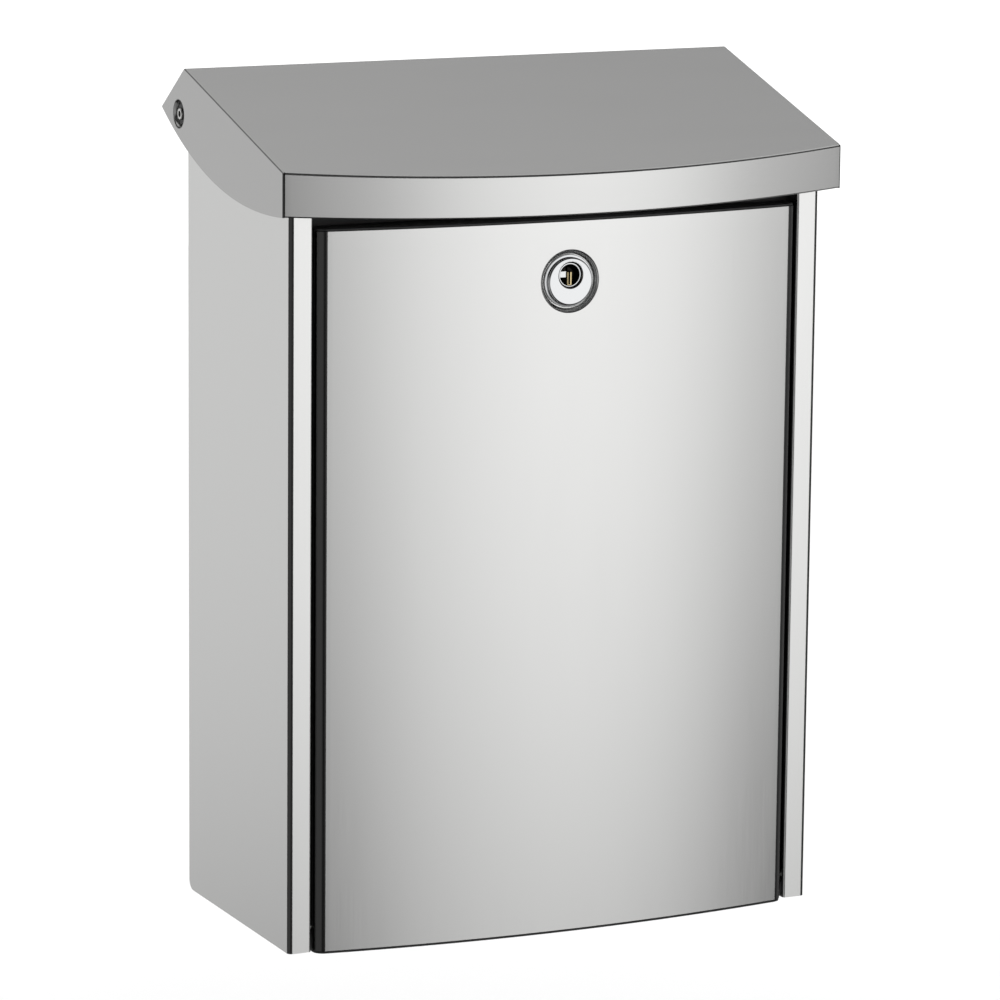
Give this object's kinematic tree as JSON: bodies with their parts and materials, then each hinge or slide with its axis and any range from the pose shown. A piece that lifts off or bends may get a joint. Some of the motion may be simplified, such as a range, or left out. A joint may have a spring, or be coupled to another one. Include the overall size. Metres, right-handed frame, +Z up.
{
  "type": "wall mounted mailbox",
  "caption": "Stainless steel wall mailbox with a sloping hinged rain hood over the letter slot and a bowed, bottom-hinged front door with a round cam lock.",
  "frame": {"origin": "on the wall plane, at the centre of the four wall spacers", "axes": "+Z up, -Y towards the front, +X to the right of a person facing the door"},
  "size_m": [0.29, 0.1751, 0.4107],
  "materials": {
    "brushed_steel": "fine brushed stainless steel",
    "bright_steel": "turned stainless steel",
    "black_plastic": "satin black moulded plastic",
    "black_coating": "matt black powder coat",
    "rubber": "matt black rubber",
    "lock_chrome": "polished chrome plate",
    "lock_brass": "machined brass, lightly nickel plated",
    "zinc_plate": "zinc plated steel"
  },
  "bodies": {
    "housing": {"side_panel_right": "brushed_steel", "side_panel_left": "brushed_steel", "back_plate": "brushed_steel", "floor_tray": "brushed_steel", "slot_crossbar": "black_coating", "wall_spacer_lower_left": "black_plastic", "wall_spacer_upper_left": "black_plastic", "wall_spacer_lower_right": "black_plastic", "wall_spacer_upper_right": "black_plastic", "hood_pad_right": "rubber", "hood_pad_left": "rubber", "door_buffer_right": "rubber", "door_buffer_left": "rubber", "hood_bush_right": "black_plastic", "hood_bush_left": "black_plastic", "hood_washer_right": "black_plastic", "hood_washer_left": "black_plastic", "hood_rivet_right": "bright_steel", "hood_rivet_left": "bright_steel"},
    "hood": {"hood_shell": "brushed_steel"},
    "door": {"door_frame": "black_plastic", "door_skin": "brushed_steel", "hinge_pin_right": "bright_steel", "hinge_pin_left": "bright_steel", "lock_body": "lock_chrome", "lock_nut": "zinc_plate"},
    "lock": {"lock_plug": "lock_brass", "lock_cam": "zinc_plate", "cam_screw": "zinc_plate"}
  },
  "joints": [
    {"name": "hood_hinge", "type": "hinge", "parent": "housing", "child": "hood", "pos_m": [0, -0.02533, 0.19689], "axis": [-1, 0, 0], "range_deg": [0, 70]},
    {"name": "door_hinge", "type": "hinge", "parent": "housing", "child": "door", "pos_m": [0, -0.14453, -0.1789], "axis": [1, 0, 0], "range_deg": [0, 90]},
    {"name": "lock_turn", "type": "hinge", "parent": "door", "child": "lock", "pos_m": [0, -0.16, 0.1302], "axis": [0, 1, 0], "range_deg": [0, 90]}
  ]
}
